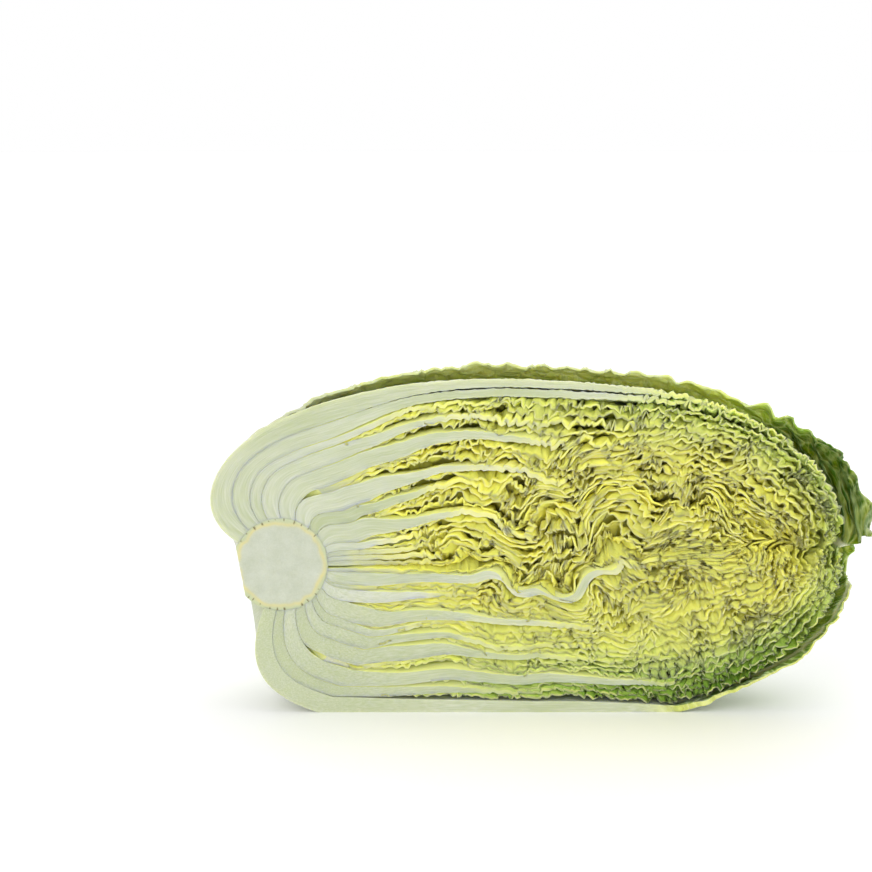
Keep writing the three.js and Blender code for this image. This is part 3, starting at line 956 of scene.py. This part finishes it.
def stem_material():
    shader = Shader("stem_flesh")
    place = shader.attribute("place", "Vector")
    cloud = shader.noise(place, 0.13, 4)
    grain = shader.noise(place, 1.3, 3)
    mixed = shader.add(shader.times(cloud, 0.65), shader.times(grain, 0.35))
    flesh = shader.ramp(mixed, ((0.3, FLESH_DARK), (0.68, FLESH_LIGHT)))
    based = shader.mix(shader.attribute("outside"), flesh, RIB_GREEN)
    patchy = shader.times(shader.attribute("ring"), shader.add(cloud, 0.15), clamp=True)
    ringed = shader.mix(patchy, based, RING_COLOUR)
    shader.surface(
        Base_Color=shader.mix(shader.attribute("dots"), ringed, DOT_COLOUR),
        Normal=shader.bump(mixed, distance=0.0005, strength=0.4),
        Roughness=0.42,
        Subsurface_Weight=0.5,
        Subsurface_Radius=(1.0, 0.9, 0.6),
        Subsurface_Scale=0.004,
    )
    return shader.material


materials = {
    "outer_leaf": leaf_material("outer_leaf_skin", OUTER_ROUGH, OUTER_SOFT, RIB_COLOUR, netted=True),
    "middle_leaf": leaf_material("middle_leaf_skin", INNER_ROUGH, INNER_SOFT, RIB_SIDE_SHADE_TINT),
    "heart_leaf": leaf_material("heart_leaf_skin", INNER_ROUGH, INNER_SOFT, RIB_SIDE_SHADE_TINT),
    "stem": stem_material(),
}

# The core: a rounded stem end, cut in half and cut off aslant at the butt
CORE_PROUD = 0.18  # its cut face stands this far in front, so that it hides where the leaves join it
CORE_OVERLAP = 1.8  # and it reaches this far over the leaf bases
CORE_Z = AXIS_HEIGHT + 1
CORE_DEPTH = CORE_RADIUS - 0.5
BUTT_SLANT = 0.17
RING_RADIUS = 19.9  # the soft yellowish ring that the leaf bases start from
DOT_RADIUS = 21.3  # small dark dots, where vessels were cut
DOT_STEP = 10.5  # degrees between them
FACE_RINGS, BACK_RINGS, SPOKES = 64, 14, 300


def core_grid():
    """Rings of points from the middle of the core's cut face over its rim to its back."""
    share = np.concatenate([np.linspace(0, 1, FACE_RINGS)[1:], np.ones(BACK_RINGS)])
    back = np.linspace(0, math.pi / 2, BACK_RINGS + 2)[1:-1]
    turn = np.concatenate([np.zeros(FACE_RINGS - 1), back])
    around = np.linspace(0, 2 * math.pi, SPOKES, endpoint=False)
    share, a = np.meshgrid(share, around, indexing="ij")
    turn = np.repeat(turn[:, None], SPOKES, axis=1)
    wobble = 1 + 0.012 * noise(stack3(np.cos(a) * 2, np.sin(a) * 2, 0.0), 51)
    r = (CORE_RADIUS + CORE_OVERLAP) * wobble * share * np.cos(turn)
    x = CORE_X + r * np.cos(a)
    z = CORE_Z + r * np.sin(a)
    rough = 0.1 * noise(stack3(x / 3, z / 3, 0.0), 52) + 0.05 * noise(stack3(x / 1.1, z / 1.1, 0.0), 53)
    face_y = 0.3 * rising(share, 0.955, 0.045) - CORE_PROUD + rough
    y = np.where(turn == 0, face_y, 0.12 + CORE_DEPTH * np.sin(turn))
    x = np.maximum(x, BUTT_X - 1 - BUTT_SLANT * (z - AXIS_HEIGHT) + rough)
    return stack3(x, y, z)


def core_shades(points):
    """Where the ring, the leaf bases outside it and the dots are."""
    radial = np.hypot(points[:, 0] - CORE_X, points[:, 2] - CORE_Z)
    turned = np.degrees(np.arctan2(points[:, 2] - CORE_Z, points[:, 0] - CORE_X))
    waver = radial + 0.7 * noise(stack3(turned / 9, 0.0, 0.0), 54) + 0.5 * noise(points / 4, 55)
    number = np.round(turned / DOT_STEP)
    slip = scatter(stack3(number, 0.0, 0.0), 56)
    size = 0.25 + 0.14 * scatter(stack3(number, 0.0, 0.0), 57)
    beside = np.radians(turned - DOT_STEP * number - 2.5 * slip) * radial
    beyond = (radial - DOT_RADIUS - 0.4 * slip) / 2.2
    above_or_below = rising(np.abs(np.sin(np.radians(turned))), 0.35, 0.3)
    return {
        "ring": np.exp(-((waver - RING_RADIUS) ** 2)),
        "outside": rising(waver, RING_RADIUS, 1.2),
        "dots": smooth(1.6 - np.hypot(beside, beyond) / size) * above_or_below,
    }


def make_core():
    grid = core_grid()
    front_middle = (CORE_X, -CORE_PROUD, CORE_Z)
    back_middle = (CORE_X, CORE_DEPTH + 0.1, CORE_Z)
    points = np.concatenate([grid.reshape(-1, 3), [front_middle, back_middle]])
    front, back = len(points) - 2, len(points) - 1
    at = np.arange(front).reshape(grid.shape[:2])
    following = np.roll(at, -1, axis=1)
    quads = np.stack([at[:-1], at[1:], following[1:], following[:-1]], axis=-1).reshape(-1, 4)
    fans = [(front, int(at[0, j]), int(following[0, j])) for j in range(SPOKES)]
    fans += [(back, int(following[-1, j]), int(at[-1, j])) for j in range(SPOKES)]
    mesh = bpy.data.meshes.new("core_flesh")
    mesh.from_pydata(((points + TO_FRAME) * MM).tolist(), [], quads.tolist() + fans)
    mesh.update()
    mesh.polygons.foreach_set("use_smooth", np.ones(len(mesh.polygons), bool))
    for key, value in core_shades(points).items():
        add_values(mesh, key, value)
    add_values(mesh, "place", points)
    piece = show("core_flesh", mesh, materials["stem"])
    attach(piece, "root")
    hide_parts("core")


# The camera, with the photo's place of the cut face in the picture
CUT_WIDTH_SEEN = 400  # millimetres of the cut plane across the picture
LENS, SENSOR = 85, 36
ELEVATION = 9.5
AIM = np.array([99.5, 0, 131.5])


def place_camera():
    data = bpy.data.cameras.new("camera")
    data.lens = LENS
    data.sensor_width = SENSOR
    data.clip_start = 0.05
    camera = bpy.data.objects.new("camera", data)
    bpy.context.scene.collection.objects.link(camera)
    tilt = math.radians(ELEVATION)
    distance = CUT_WIDTH_SEEN * LENS / SENSOR
    toward_camera = np.array([0, -math.cos(tilt), math.sin(tilt)])
    camera.location = (AIM + TO_FRAME + toward_camera * distance) * MM
    camera.rotation_euler = (math.pi / 2 - tilt, 0, 0)
    bpy.context.scene.camera = camera


# Soft studio light: a bright world, and suns with wide discs, as azimuth and elevation in degrees,
# strength, and the disc's width in degrees. Azimuth 0 shines along +y.
SUNS = {
    "key": (-28, 32, 0.62, 40),
    "top": (160, 72, 0.9, 60),
    "front": (5, 11, 0.65, 26),
    "low": (0, 2, 0.2, 30),
}
SKY, HORIZON = 0.8, 1.0


def sun_light(name, azimuth, elevation, strength, spread):
    data = bpy.data.lights.new(name, "SUN")
    data.energy = strength
    data.angle = math.radians(spread)
    light = bpy.data.objects.new(name, data)
    bpy.context.scene.collection.objects.link(light)
    turn, height = math.radians(azimuth), math.radians(elevation)
    source = Vector(
        (math.sin(turn) * math.cos(height), -math.cos(turn) * math.cos(height), math.sin(height))
    )
    light.rotation_mode = "QUATERNION"
    light.rotation_quaternion = (-source).to_track_quat("-Z", "Y")


def light_world():
    """A soft white room, brightest at the height of the horizon, where it meets the floor."""
    world = bpy.data.worlds.new("studio")
    world.use_nodes = True
    bpy.context.scene.world = world
    tree = world.node_tree
    coordinates = tree.nodes.new("ShaderNodeTexCoord")
    separate = tree.nodes.new("ShaderNodeSeparateXYZ")
    tree.links.new(coordinates.outputs["Generated"], separate.inputs[0])
    height = tree.nodes.new("ShaderNodeMath")
    height.operation = "ABSOLUTE"
    tree.links.new(separate.outputs["Z"], height.inputs[0])
    ramp = tree.nodes.new("ShaderNodeValToRGB")
    tree.links.new(height.outputs[0], ramp.inputs[0])
    ramp.color_ramp.elements[0].position = 0.06
    ramp.color_ramp.elements[0].color = (HORIZON, HORIZON, HORIZON, 1)
    ramp.color_ramp.elements[1].position = 0.22
    ramp.color_ramp.elements[1].color = (SKY, SKY, SKY, 1)
    background = tree.nodes["Background"]
    tree.links.new(ramp.outputs["Color"], background.inputs["Color"])
    background.inputs["Strength"].default_value = 1.0


FLOOR_RADIUS, FLOOR_SPOKES = 9.0, 96  # the radius in metres
FLOOR_WHITE = 0.97


def make_floor():
    angles = [2 * math.pi * i / FLOOR_SPOKES for i in range(FLOOR_SPOKES)]
    ring = [(FLOOR_RADIUS * math.cos(a), FLOOR_RADIUS * math.sin(a), 0) for a in angles]
    mesh = bpy.data.meshes.new("floor")
    mesh.from_pydata(ring, [], [list(range(FLOOR_SPOKES))])
    shader = Shader("pale_floor")
    shader.surface(Base_Color=(FLOOR_WHITE, FLOOR_WHITE, FLOOR_WHITE, 1), Roughness=0.5)
    floor = show("floor", mesh, shader.material)


place_camera()
for sun_name, sun_values in SUNS.items():
    sun_light(sun_name, *sun_values)
light_world()
bpy.context.scene.view_settings.view_transform = "Standard"
make_floor()
make_core()
for layer in layers:
    make_leaf(layer)
